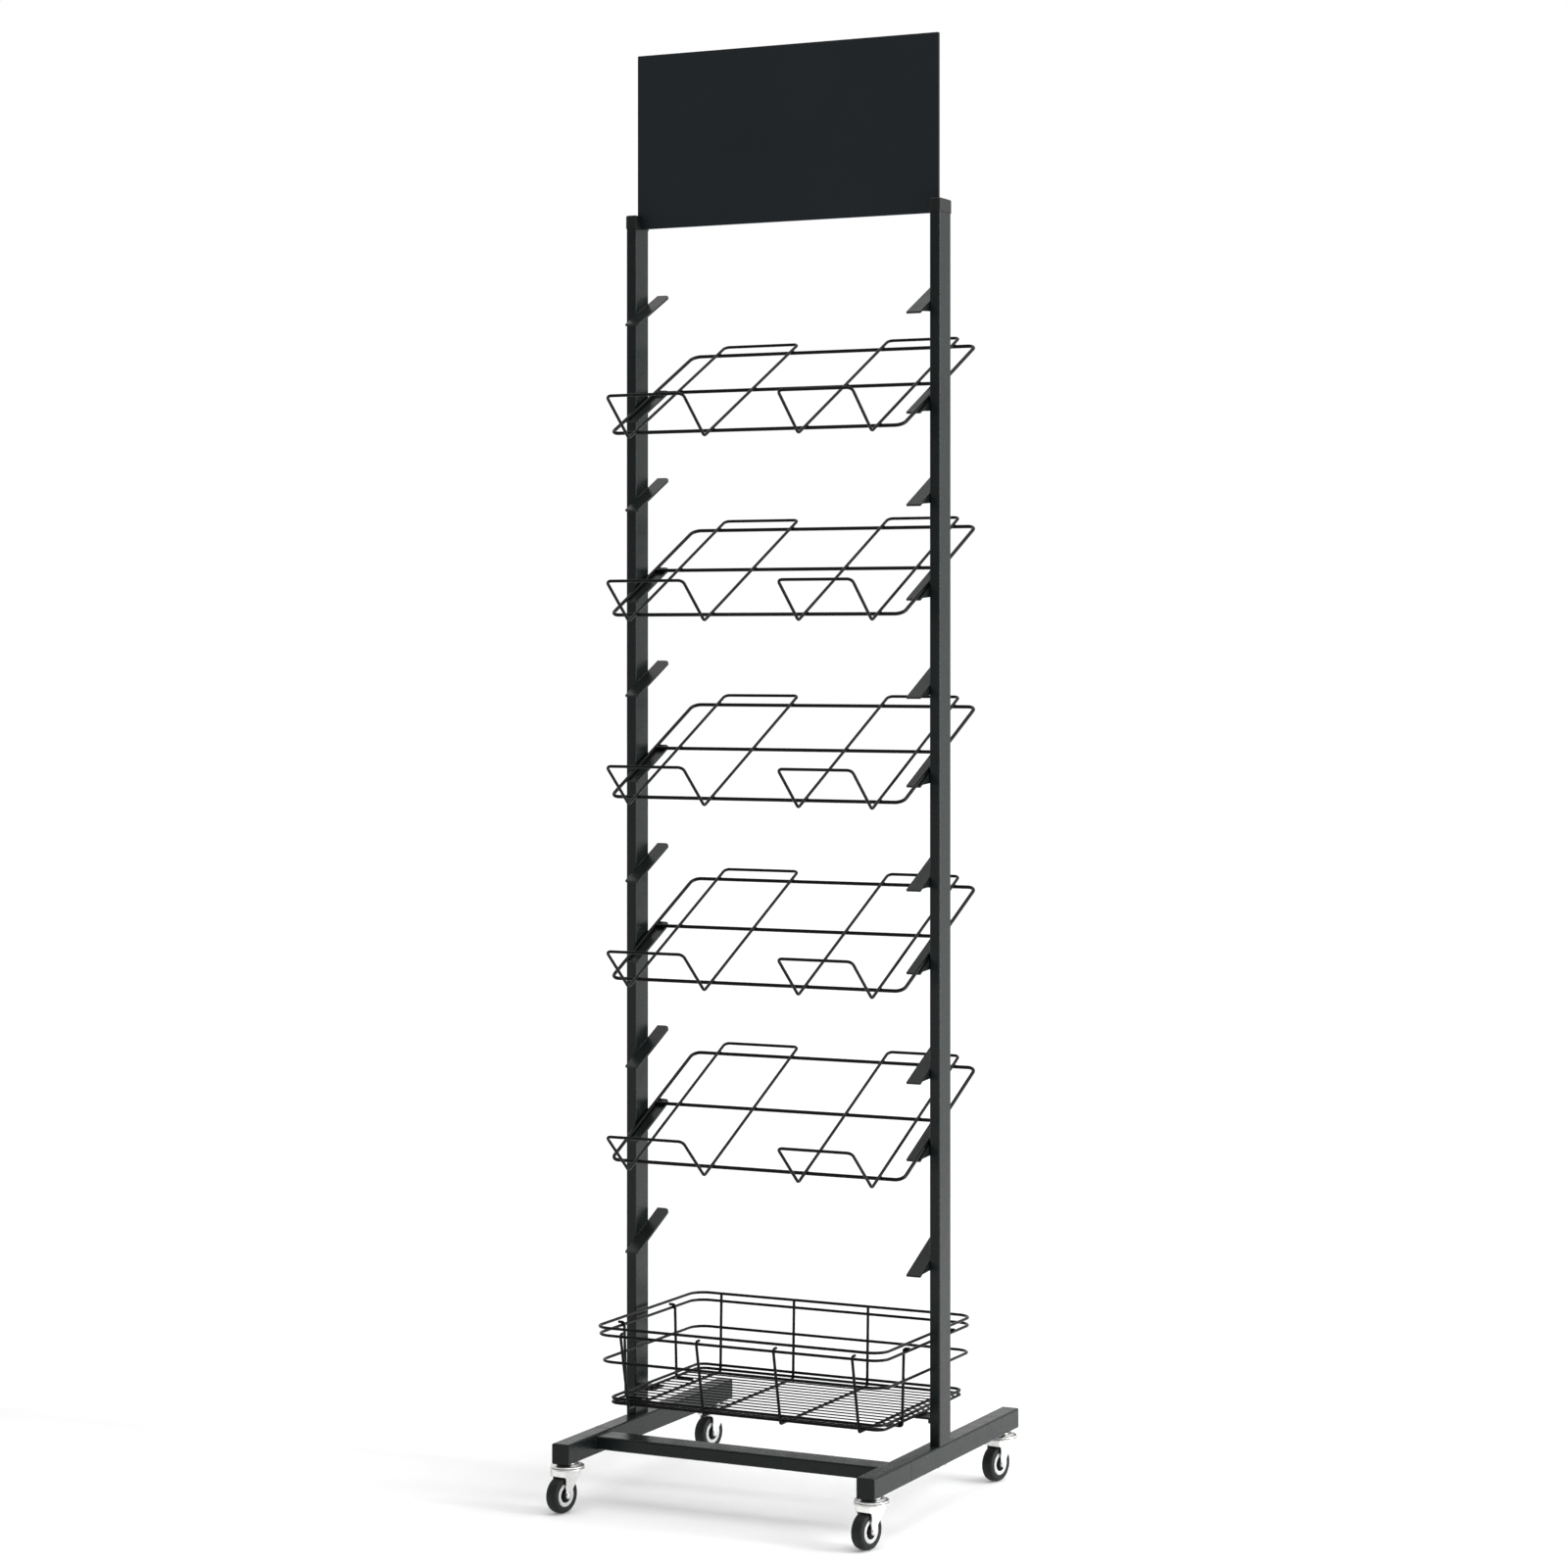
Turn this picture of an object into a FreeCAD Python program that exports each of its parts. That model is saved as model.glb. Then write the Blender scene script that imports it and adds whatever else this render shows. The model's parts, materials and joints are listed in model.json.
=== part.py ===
import FreeCAD, Part
import math
import os
import re

import Sketcher
from FreeCAD import Placement, Rotation, Vector

# Wheeled magazine stand: two slotted posts on two foot rails with four swivel casters,
# a sign panel held in the post tops, five sloping wire racks and a wire basket.
# Axes: +X to the stand's right, +Y to its back, +Z up. The origin is on the floor,
# under the middle of the whole stand. All lengths are in millimetres.

SIZES = {
    # Posts
    "post_gap": 450.0,             # between the posts' inner faces
    "post_width": 15.0,
    "post_depth": 38.0,
    "post_wall": 1.2,
    "post_corner": 2.0,
    "post_top": 1775.0,
    "post_plane": -6.5,            # the posts' middle plane, along Y
    "foot_plate": 4.0,             # closes the post's lower end
    "cap_wall": 1.0,
    "cap_skirt": 17.0,
    "cap_roof": 1.5,
    "cap_edge": 2.4,               # radius round a post cap's top
    # Foot rails and the cross rail
    "rail_width": 26.0,
    "rail_height": 28.0,
    "rail_wall": 1.5,
    "rail_corner": 2.5,
    "rail_front": -235.5,
    "rail_back": 252.5,
    "rail_seam": -118.5,           # where the front stub meets the rear tube
    "rail_under": 66.6,            # underside of the rails, above the floor
    "end_cap": 3.0,
    "plug_length": 9.0,
    "plug_wall": 2.0,
    "end_cap_edge": 1.0,           # radius round an end cap's face
    "spigot_length": 80.0,
    "spigot_play": 0.2,
    "cross_depth": 38.0,
    "cross_height": 18.0,
    "cross_middle": -140.5,
    "cross_drop": 3.0,             # the cross rail's top, below the foot rails' tops
    # Screws under the rails
    "screw_shank": 2.5,            # radius
    "screw_bore": 2.6,             # radius
    "screw_head": 4.6,             # radius
    "screw_head_height": 2.4,
    "short_screw": 8.0,
    "long_screw": 35.0,
    "spigot_screw_offset": 20.0,
    "post_screw_offset": 11.0,
    # Sign panel
    "sign_height": 244.0,
    "sign_thick": 4.0,
    "sign_foot": 1758.0,
    "slot_play": 0.3,
    "sign_bite": 6.0,              # how far the panel's side goes into a post
    "sign_corner": 1.5,
    "sign_edge": 0.4,              # radius along the panel's edges
    # Ledges on the posts
    "ledge_width": 20.5,
    "ledge_length": 107.0,
    "ledge_thick": 3.0,
    "ledge_tip": -50.0,            # front end of a ledge, from the posts' middle plane
    "ledge_round": 9.0,
    "web_thick": 3.0,
    "web_depth": 11.0,
    "web_top_start": 8.0,
    "web_top_end": 98.0,
    "web_foot_start": 34.0,
    "web_foot_end": 76.0,
    "spare_first": 328.5,          # tip of the lowest spare ledge, above the floor
    "spare_pitch": 258.5,
    "spare_count": 6.0,
    # Wire racks
    "rack_count": 5.0,
    "rack_pitch": 250.8,
    "rack_first": 462.8,           # front wire of the lowest rack, above the floor
    "rack_front": -97.4,           # front wire, from the posts' middle plane
    "rack_slope": 0.5,             # rise over run
    "rack_half_width": 221.0,
    "rack_length": 275.8,          # front wire to rear wire, along the slope
    "rack_middle": 142.4,          # front wire to middle wire, along the slope
    "rack_corner": 12.0,
    "rack_wire": 2.5,              # radius
    "rest_gap": 0.3,
    # Magazine pockets, one bent wire each
    "pocket_wire": 2.1,            # radius
    "pocket_bend": 7.0,
    "pocket_vee_run": 27.6,        # vee bend, ahead of the rack's front wire
    "pocket_lip_run": 90.6,        # lip, ahead of the rack's front wire
    "pocket_lip_rise": 45.0,       # lip, above the rack's front wire
    "pocket_rear_run": 263.4,      # rear loop, behind the rack's front wire
    "left_pocket_outer": -178.4,
    "left_pocket_inner": -61.8,
    "right_pocket_inner": 80.0,
    "right_pocket_outer": 188.5,
    # Basket
    "basket_wire": 2.0,            # radius
    "floor_wire": 0.95,            # radius
    "rim_half_width": 216.5,
    "rim_front": -154.0,
    "rim_back": 149.0,
    "rim_corner": 22.0,
    "rim_height": 241.3,
    "second_rim_drop": 10.6,
    "middle_rim_drop": 48.3,
    "tray_half_width": 206.0,
    "tray_front": -130.0,
    "tray_back": 138.0,
    "tray_corner": 14.0,
    "tray_height": 130.7,          # the lowest wires' middle, above the floor
    "tray_ring_gap": 6.0,
    "upright_inner": 58.0,
    "upright_outer": 174.0,
    "side_upright": 75.0,
    "side_foot": 26.0,
    "floor_wire_count": 15.0,
    "hook_reach": 9.0,             # from an upright to the end of the hook on its top
    "rest_width": 26.0,
    "rest_length": 34.0,
    "rest_thick": 3.0,
    "rest_web": 8.0,
    # Casters
    "front_caster": -215.5,
    "rear_caster": 217.0,
    "wheel_radius": 25.0,
    "wheel_width": 18.0,
    "trail": 12.0,                 # wheel axle, ahead of the swivel axis
    "parked_turn": -11.0,          # degrees that the casters are turned as the stand is parked
    "hub_radius": 16.0,
    "boss_radius": 6.5,
    "rim_inner": 10.0,
    "hub_recess": 4.5,
    "hub_inset": 0.5,              # hub's rim, in from the tyre's sides
    "boss_play": 0.4,
    "axle_radius": 3.0,
    "axle_head": 5.5,
    "axle_head_thick": 2.2,
    "axle_head_round": 1.2,
    "running_play": 0.06,
    "leg_thick": 2.0,
    "leg_gap": 10.6,               # wheel's middle plane to a leg's inner face
    "leg_end": 7.5,
    "leg_top_front": -21.0,
    "leg_top_back": 11.0,
    "tyre_round": 7.0,
    "crown_radius": 24.0,
    "crown_height": 57.4,
    "crown_thick": 2.4,
    "race_radius": 22.5,
    "washer_radius": 12.0,
    "swivel_gap": 0.4,
    "race_lip": 2.2,
    "race_dome": 2.4,
    "king_pin": 5.0,
    "king_head": 8.0,
    "king_head_thick": 2.0,
    "stem_radius": 4.0,
    "stem_length": 20.0,
}

# The slope's cosine and sine, as formulas in the sheet's names.
COS = "(1 / sqrt(1 + rack_slope * rack_slope))"
SIN = "(rack_slope / sqrt(1 + rack_slope * rack_slope))"

X_AXIS = Vector(1, 0, 0)
Y_AXIS = Vector(0, 1, 0)
Z_AXIS = Vector(0, 0, 1)

doc = FreeCAD.newDocument("MagazineStand")
sheet = doc.addObject("Spreadsheet::Sheet", "Sizes")
for row, (alias, size) in enumerate(SIZES.items(), start=1):
    sheet.set("A%d" % row, alias)
    sheet.set("B%d" % row, str(size))
    sheet.setAlias("B%d" % row, alias)
doc.recompute()

nodes = []


# ---------------------------------------------------------------- formulas and places

def formula(text):
    """Puts the sheet's name before each of its aliases in a formula."""
    def full_name(match):
        word = match.group()
        return "Sizes." + word if word in SIZES else word
    return re.sub(r"[a-z_]+", full_name, str(text))


def size(text):
    """The number that a formula in the sheet's names gives."""
    result = sheet.evalExpression(formula(text))
    return float(getattr(result, "Value", result))


def bind(thing, **formulas):
    """Binds properties of an object to formulas."""
    for name, text in formulas.items():
        thing.setExpression(name, formula(text))


def place(thing, x="0", y="0", z="0", rotation=None):
    """Gives an object its Placement, with the position bound to formulas."""
    thing.Placement = Placement(Vector(), rotation or Rotation())
    for axis, text in zip("xyz", (x, y, z)):
        thing.setExpression(".Placement.Base." + axis, formula(text))
    return thing


def node(thing, label):
    """Names a finished sub-part and puts it on the list of files to write."""
    thing.Label = label
    nodes.append(thing)
    return thing


def rack_tilt():
    return Rotation(X_AXIS, math.degrees(math.atan(size("rack_slope"))))


# ---------------------------------------------------------------- sketches and features

def new_body(name):
    return doc.addObject("PartDesign::Body", name)


def new_sketch(body, name, role="XY_Plane"):
    sketch = body.newObject("Sketcher::SketchObject", name)
    plane = [item for item in body.Origin.OriginFeatures if item.Role == role][0]
    sketch.AttachmentSupport = [(plane, "")]
    sketch.MapMode = "FlatFace"
    return sketch


def constrain(sketch, kind, *parts, to=None):
    """Adds a constraint; to is the formula that drives a dimension."""
    if to is None:
        return sketch.addConstraint(Sketcher.Constraint(kind, *parts))
    index = sketch.addConstraint(Sketcher.Constraint(kind, *parts, size(to)))
    sketch.setExpression("Constraints[%d]" % index, formula(to))
    return index


def rounded_rectangle(sketch, width, height, radius):
    """A rectangle with round corners, centred on the sketch's origin."""
    first = sketch.GeometryCount
    half_x, half_y, bend = size(width) / 2, size(height) / 2, size(radius)
    inner_x, inner_y = half_x - bend, half_y - bend
    ends = [
        (Vector(-inner_x, -half_y), Vector(inner_x, -half_y)),
        (Vector(half_x, -inner_y), Vector(half_x, inner_y)),
        (Vector(inner_x, half_y), Vector(-inner_x, half_y)),
        (Vector(-half_x, inner_y), Vector(-half_x, -inner_y)),
    ]
    centres = [Vector(inner_x, -inner_y), Vector(inner_x, inner_y),
               Vector(-inner_x, inner_y), Vector(-inner_x, -inner_y)]
    for quarter, ((start, end), centre) in enumerate(zip(ends, centres)):
        turn = (quarter - 1) * math.pi / 2
        circle = Part.Circle(centre, Z_AXIS, bend)
        sketch.addGeometry(Part.LineSegment(start, end), False)
        sketch.addGeometry(Part.ArcOfCircle(circle, turn, turn + math.pi / 2), False)
    for step in range(8):
        constrain(sketch, "Tangent", first + step, 2, first + (step + 1) % 8, 1)
    for side in (0, 4):
        constrain(sketch, "Horizontal", first + side)
        constrain(sketch, "Vertical", first + side + 2)
    for arc in (1, 3, 5):
        constrain(sketch, "Equal", first + arc, first + arc + 2)
    constrain(sketch, "Radius", first + 1, to=radius)
    constrain(sketch, "DistanceX", first + 6, 1, first + 2, 1, to=width)
    constrain(sketch, "DistanceY", first, 1, first + 4, 1, to=height)
    constrain(sketch, "Symmetric", first, 1, first + 4, 1, -1, 1)


def circle(sketch, x, y, radius):
    """A circle at a place given by formulas."""
    index = sketch.addGeometry(Part.Circle(Vector(size(x), size(y)), Z_AXIS, size(radius)), False)
    constrain(sketch, "Radius", index, to=radius)
    for kind, text in (("DistanceX", x), ("DistanceY", y)):
        constrain(sketch, kind, -1, 1, index, 3, to=text)


def polygon(sketch, corners):
    """A closed outline through corners, each a pair of formulas."""
    points = [Vector(size(x), size(y)) for x, y in corners]
    first = sketch.GeometryCount
    count = len(points)
    for step in range(count):
        sketch.addGeometry(Part.LineSegment(points[step], points[(step + 1) % count]), False)
    for step in range(count):
        constrain(sketch, "Coincident", first + step, 2, first + (step + 1) % count, 1)
    for step, (x, y) in enumerate(corners):
        constrain(sketch, "DistanceX", -1, 1, first + step, 1, to=x)
        constrain(sketch, "DistanceY", -1, 1, first + step, 1, to=y)


def pad(body, sketch, length, **options):
    feature = body.newObject("PartDesign::Pad", sketch.Name + "_pad")
    feature.Profile = sketch
    bind(feature, Length=length)
    for name, setting in options.items():
        setattr(feature, name, setting)
    return feature


def cut(body, sketch, length=None, **options):
    """Pockets a sketch and makes sure that it removed something."""
    doc.recompute()
    before = body.Shape.Volume
    feature = body.newObject("PartDesign::Pocket", sketch.Name + "_cut")
    feature.Profile = sketch
    if length is None:
        feature.Type = "ThroughAll"
    else:
        bind(feature, Length=length)
    for name, setting in options.items():
        setattr(feature, name, setting)
    doc.recompute()
    assert body.Shape.Volume < before - 1.0, sketch.Name + " cuts nothing"
    return feature


def round_edges(body, radius, chosen):
    """Fillets the edges of a body's last feature that a test picks out."""
    doc.recompute()
    base = body.Tip
    picked = ["Edge%d" % (index + 1) for index, edge in enumerate(base.Shape.Edges) if chosen(edge)]
    feature = body.newObject("PartDesign::Fillet", base.Name + "_round")
    feature.Base = (base, picked)
    bind(feature, Radius=radius)
    return feature


def turned(name, profile):
    """A solid of revolution about Z, from corners given as (radius, height) formulas."""
    body = new_body(name)
    sketch = new_sketch(body, name + "_profile", "XZ_Plane")
    polygon(sketch, profile)
    feature = body.newObject("PartDesign::Revolution", name + "_turn")
    feature.Profile = sketch
    feature.ReferenceAxis = (sketch, ["V_Axis"])
    feature.Angle = 360.0
    return body


def square_tube(name, width, height, wall, corner, length):
    """A hollow tube along the body's own Z axis, centred on it."""
    body = new_body(name)
    section = new_sketch(body, name + "_section")
    rounded_rectangle(section, width, height, corner)
    rounded_rectangle(section, "%s - 2 * %s" % (width, wall), "%s - 2 * %s" % (height, wall),
                      "%s - %s / 2" % (corner, wall))
    pad(body, section, length)
    return body


def wall_hole(body, name, height, radius, offset="0", both=False):
    """A round hole through a tube's local +Y wall, or through that wall and the opposite one."""
    sketch = new_sketch(body, name, "XZ_Plane")
    circle(sketch, offset, height, radius)
    return cut(body, sketch, Midplane=both)


def framed(sketch, left, right, low, high):
    """A plain rectangle, from its sides' places as formulas."""
    polygon(sketch, [(left, low), (right, low), (right, high), (left, high)])


def wire_ring(name, width, depth, corner, radius):
    """A closed loop of round wire in the body's XY plane, centred on its origin."""
    body = new_body(name)
    path = new_sketch(body, name + "_path")
    rounded_rectangle(path, width, depth, corner)
    section = new_sketch(body, name + "_section", "XZ_Plane")
    circle(section, width + " / 2", "0", radius)
    doc.recompute()
    pipe = body.newObject("PartDesign::AdditivePipe", name + "_pipe")
    pipe.Profile = section
    pipe.Spine = (path, ["Edge%d" % (index + 1) for index in range(8)])
    return body


# ---------------------------------------------------------------- bent wire and groups

def bent_wire(points, bend, radius):
    """A round wire along straight runs joined by tangent arcs of one bend radius."""
    edges = []
    start = points[0]
    for before, corner, after in zip(points, points[1:], points[2:]):
        back = (before - corner).normalize()
        onward = (after - corner).normalize()
        half_angle = back.getAngle(onward) / 2
        inward = (back + onward).normalize()
        centre = corner + inward * (bend / math.sin(half_angle))
        reach = bend / math.tan(half_angle)
        arc_start = corner + back * reach
        arc_end = corner + onward * reach
        edges.append(Part.LineSegment(start, arc_start).toShape())
        edges.append(Part.Arc(arc_start, centre - inward * bend, arc_end).toShape())
        start = arc_end
    edges.append(Part.LineSegment(start, points[-1]).toShape())
    path = Part.Wire(edges)
    section = Part.Wire(Part.Circle(points[0], points[1] - points[0], radius).toShape())
    return path.makePipeShell([section], True, False)


def shaped(name, shape):
    """Holds a shape that no feature gives, such as a wire bent in space."""
    thing = doc.addObject("Part::Feature", name)
    thing.Shape = shape
    return thing


def rod(name, radius, length, rotation=None, x="0", y="0", z="0"):
    thing = doc.addObject("Part::Cylinder", name)
    bind(thing, Radius=radius, Height=length)
    return place(thing, x, y, z, rotation)


def box(name, length, width, height, x="0", y="0", z="0"):
    thing = doc.addObject("Part::Box", name)
    bind(thing, Length=length, Width=width, Height=height)
    return place(thing, x, y, z)


def fuse(name, base, tool):
    thing = doc.addObject("Part::Fuse", name)
    thing.Base = base
    thing.Tool = tool
    return thing


def group(name, members):
    """Several separate solids that make one sub-part."""
    thing = doc.addObject("Part::Compound", name)
    thing.Links = members
    return thing


def mirrored(source, label):
    """The right-hand copy of a left-hand sub-part."""
    thing = doc.addObject("Part::Mirroring", label)
    thing.Source = source
    thing.Normal = X_AXIS
    thing.Base = Vector()
    return node(thing, label)


# ---------------------------------------------------------------- base

RAIL_X = "(post_gap / 2 + post_width - rail_width / 2)"
RAIL_Z = "(rail_under + rail_height / 2)"
RAIL_TOP = "(rail_under + rail_height)"
POST_X = "(post_gap / 2 + post_width / 2)"
STUB_START = "(rail_front + end_cap)"
ALONG_Y = Rotation(X_AXIS, -90)
AGAINST_Y = Rotation(X_AXIS, 90)
ALONG_X = Rotation(Y_AXIS, 90)


def foot_rails():
    """The rear tube and the front stub of each foot rail."""
    rear = square_tube("rear_tube", "rail_width", "rail_height", "rail_wall", "rail_corner",
                       "rail_back - end_cap - rail_seam")
    wall_hole(rear, "rear_stem_hole", "rear_caster - rail_seam", "stem_radius + running_play")
    wall_hole(rear, "rear_spigot_hole", "spigot_screw_offset", "screw_bore")
    for name, step in (("post_hole_front", "-"), ("post_hole_back", "+")):
        reach = "post_plane %s post_screw_offset - rail_seam" % step
        wall_hole(rear, name, reach, "screw_bore", RAIL_X + " - " + POST_X, both=True)
    place(rear, "-" + RAIL_X, "rail_seam", RAIL_Z, ALONG_Y)
    mirrored(node(rear, "left_foot_rail"), "right_foot_rail")

    stub = square_tube("front_tube", "rail_width", "rail_height", "rail_wall", "rail_corner",
                       "rail_seam - " + STUB_START)
    wall_hole(stub, "front_stem_hole", "front_caster - " + STUB_START, "stem_radius + running_play")
    wall_hole(stub, "front_spigot_hole", "rail_seam - spigot_screw_offset - " + STUB_START,
              "screw_bore")
    place(stub, "-" + RAIL_X, STUB_START, RAIL_Z, ALONG_Y)
    mirrored(node(stub, "left_front_stub"), "right_front_stub")


def spigots():
    """Short tubes that slide into both halves of a foot rail and hold them in line."""
    bore = " - 2 * rail_wall - 2 * spigot_play"
    spigot = square_tube("spigot_tube", "rail_width" + bore, "rail_height" + bore, "rail_wall",
                         "rail_wall", "spigot_length")
    for name, step in (("spigot_hole_front", "-"), ("spigot_hole_back", "+")):
        wall_hole(spigot, name, "spigot_length / 2 %s spigot_screw_offset" % step, "screw_bore")
    place(spigot, "-" + RAIL_X, "rail_seam - spigot_length / 2", RAIL_Z, ALONG_Y)
    mirrored(node(spigot, "left_spigot"), "right_spigot")


def cross_rail():
    """The flat tube that ties the two front stubs together."""
    reach = "(" + RAIL_X + " - rail_width / 2)"
    rail = square_tube("cross_tube", "cross_height", "cross_depth", "rail_wall", "rail_corner",
                       "2 * " + reach)
    height = RAIL_TOP + " - cross_drop - cross_height / 2"
    place(rail, "-" + reach, "cross_middle", height, ALONG_X)
    node(rail, "cross_rail")


def end_caps():
    """Plastic plugs with a flat head that close the foot rails' ends."""
    ends = {
        "front": (AGAINST_Y, STUB_START),
        "rear": (ALONG_Y, "(rail_back - end_cap)"),
    }
    bore = " - 2 * rail_wall - 2 * spigot_play"
    for end, (rotation, face) in ends.items():
        cap = new_body(end + "_cap_body")
        head = new_sketch(cap, end + "_cap_head")
        rounded_rectangle(head, "rail_width", "rail_height", "rail_corner")
        pad(cap, head, "end_cap")
        round_edges(cap, "end_cap_edge", lambda edge: edge.BoundBox.ZMin > size("end_cap") - 0.01)
        plug = new_sketch(cap, end + "_cap_plug")
        rounded_rectangle(plug, "rail_width" + bore, "rail_height" + bore, "rail_wall")
        hollow = bore + " - 2 * plug_wall"
        rounded_rectangle(plug, "rail_width" + hollow, "rail_height" + hollow, "rail_wall / 2")
        pad(cap, plug, "plug_length", Reversed=True)
        place(cap, "-" + RAIL_X, face, RAIL_Z, rotation)
        mirrored(node(cap, end + "_left_end_cap"), end + "_right_end_cap")


def screw(name, x, y, length):
    head = rod(name + "_head", "screw_head", "screw_head_height", z="-screw_head_height")
    shank = rod(name + "_shank", "screw_shank", length)
    whole = fuse(name, head, shank)
    return place(whole, x, y, "rail_under")


def base_screws():
    """Screws driven up through the rails, into the spigots and into the posts' foot plates."""
    screws = []
    for side in ("-", ""):
        name = "left" if side else "right"
        for place_name, step in (("front", "-"), ("back", "+")):
            joint_y = "rail_seam %s spigot_screw_offset" % step
            post_y = "post_plane %s post_screw_offset" % step
            title = "%s_%s_screw" % (name, place_name)
            screws.append(screw("spigot_" + title, side + RAIL_X, joint_y, "short_screw"))
            screws.append(screw("post_" + title, side + POST_X, post_y, "long_screw"))
    node(group("screw_set", screws), "base_screws")


# ---------------------------------------------------------------- posts and sign

def posts():
    """Slotted flat tubes with a welded plate at the foot."""
    post = square_tube("post_tube", "post_width", "post_depth", "post_wall", "post_corner",
                       "post_top - " + RAIL_TOP)
    plate = new_sketch(post, "foot_plate_outline")
    rounded_rectangle(plate, "post_width - post_wall", "post_depth - post_wall",
                      "post_corner - post_wall / 2")
    pad(post, plate, "foot_plate")
    holes = new_sketch(post, "foot_plate_holes")
    circle(holes, "0", "-post_screw_offset", "screw_bore")
    circle(holes, "0", "post_screw_offset", "screw_bore")
    cut(post, holes, Reversed=True)
    slot = new_sketch(post, "post_slot", "XZ_Plane")
    framed(slot, "post_width / 2 - 2 * post_wall", "post_width / 2 + post_wall",
           "sign_foot - slot_play - " + RAIL_TOP, "post_top + post_wall - " + RAIL_TOP)
    cut(post, slot, "sign_thick + 2 * slot_play", Midplane=True)
    place(post, "-" + POST_X, "post_plane", RAIL_TOP)
    mirrored(node(post, "left_post"), "right_post")


def post_caps():
    """Plastic caps over the posts' tops, slotted for the sign."""
    cap = new_body("post_cap_body")
    outline = new_sketch(cap, "post_cap_outline")
    rounded_rectangle(outline, "post_width + 2 * cap_wall", "post_depth + 2 * cap_wall",
                      "post_corner + cap_wall")
    pad(cap, outline, "cap_skirt + cap_roof")
    round_edges(cap, "cap_edge", lambda edge: edge.BoundBox.ZMin > size("cap_skirt + cap_roof") - 0.01)
    doc.recompute()
    cavity = new_sketch(cap, "post_cap_cavity")
    rounded_rectangle(cavity, "post_width", "post_depth", "post_corner")
    cut(cap, cavity, "cap_skirt", Reversed=True)
    slot = new_sketch(cap, "post_cap_slot", "XZ_Plane")
    framed(slot, "post_width / 2 - sign_bite - slot_play", "post_width / 2 + 2 * cap_wall",
           "-cap_wall", "cap_skirt + cap_roof + cap_wall")
    cut(cap, slot, "sign_thick + 2 * slot_play", Midplane=True)
    place(cap, "-" + POST_X, "post_plane", "post_top - cap_skirt")
    mirrored(node(cap, "left_post_cap"), "right_post_cap")


def sign_panel():
    """A stiff blank panel that stands in the posts' slots."""
    panel = new_body("sign_body")
    outline = new_sketch(panel, "sign_outline", "XZ_Plane")
    rounded_rectangle(outline, "post_gap + 2 * sign_bite", "sign_height", "sign_corner")
    pad(panel, outline, "sign_thick", Midplane=True)
    round_edges(panel, "sign_edge", lambda edge: edge.BoundBox.YLength < size("sign_edge"))
    place(panel, "0", "post_plane", "sign_foot + sign_height / 2")
    node(panel, "sign_panel")


def ledge(name, tip_height):
    """A sloping flat strip with a web below it, welded to the left post's inner face."""
    strip = box(name + "_strip", "ledge_width", "ledge_length", "ledge_thick", z="-ledge_thick")
    doc.recompute()
    corner = [
        index + 1 for index, edge in enumerate(strip.Shape.Edges)
        if min(point.Point.x for point in edge.Vertexes) > size("ledge_width") - 0.01
        and min(point.Point.y for point in edge.Vertexes) > size("ledge_length") - 0.01
    ]
    rounded = doc.addObject("Part::Fillet", name + "_rounded")
    rounded.Base = strip
    rounded.Edges = [(corner[0], size("ledge_round"), size("ledge_round"))]
    web = doc.addObject("Part::Wedge", name + "_web")
    bind(web, Xmin="0", Xmax="web_thick", X2min="0", X2max="web_thick",
         Ymin="0", Ymax="web_depth", Zmin="web_top_start", Zmax="web_top_end",
         Z2min="web_foot_start", Z2max="web_foot_end")
    place(web, "0", "0", "-ledge_thick", ALONG_Y)
    whole = fuse(name, rounded, web)
    return place(whole, "-post_gap / 2", "post_plane + ledge_tip", tip_height, rack_tilt())


def ledges():
    """The ledges that carry racks, and the spare ones between them."""
    under_rack = "rack_slope * (ledge_tip - rack_front) - rack_wire / " + COS + " - rest_gap"
    every = []
    for step in range(int(size("rack_count"))):
        height = "rack_first + %d * rack_pitch + %s" % (step, under_rack)
        every.append(ledge("rack_ledge_%d" % (step + 1), height))
    for step in range(int(size("spare_count"))):
        height = "spare_first + %d * spare_pitch" % step
        every.append(ledge("spare_ledge_%d" % (step + 1), height))
    mirrored(node(group("ledge_set", every), "left_ledges"), "right_ledges")


def basket_rests():
    """Angle strips on the posts' inner faces, under the basket's lower ring."""
    top = "tray_height + basket_wire - rest_gap"
    front = "post_plane - rest_length / 2"
    flange = box("rest_flange", "rest_width", "rest_length", "rest_thick",
                 "-post_gap / 2", front, top + " - rest_thick")
    web = box("rest_web_plate", "rest_thick", "rest_length", "rest_web",
              "-post_gap / 2", front, top + " - rest_web")
    mirrored(node(fuse("rest_angle", flange, web), "left_basket_rest"), "right_basket_rest")


# ---------------------------------------------------------------- racks

def rack_frame(name, step):
    """A rounded wire loop with one wire across it, tilted to lie on a pair of ledges."""
    frame = wire_ring(name, "2 * rack_half_width", "rack_length", "rack_corner", "rack_wire")
    across = new_sketch(frame, name + "_across", "YZ_Plane")
    circle(across, "rack_middle - rack_length / 2", "0", "rack_wire")
    pad(frame, across, "2 * rack_half_width", Midplane=True)
    place(frame, "0",
          "post_plane + rack_front + rack_length / 2 * " + COS,
          "rack_first + %d * rack_pitch + rack_length / 2 * %s" % (step, SIN),
          rack_tilt())
    return frame


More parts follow.
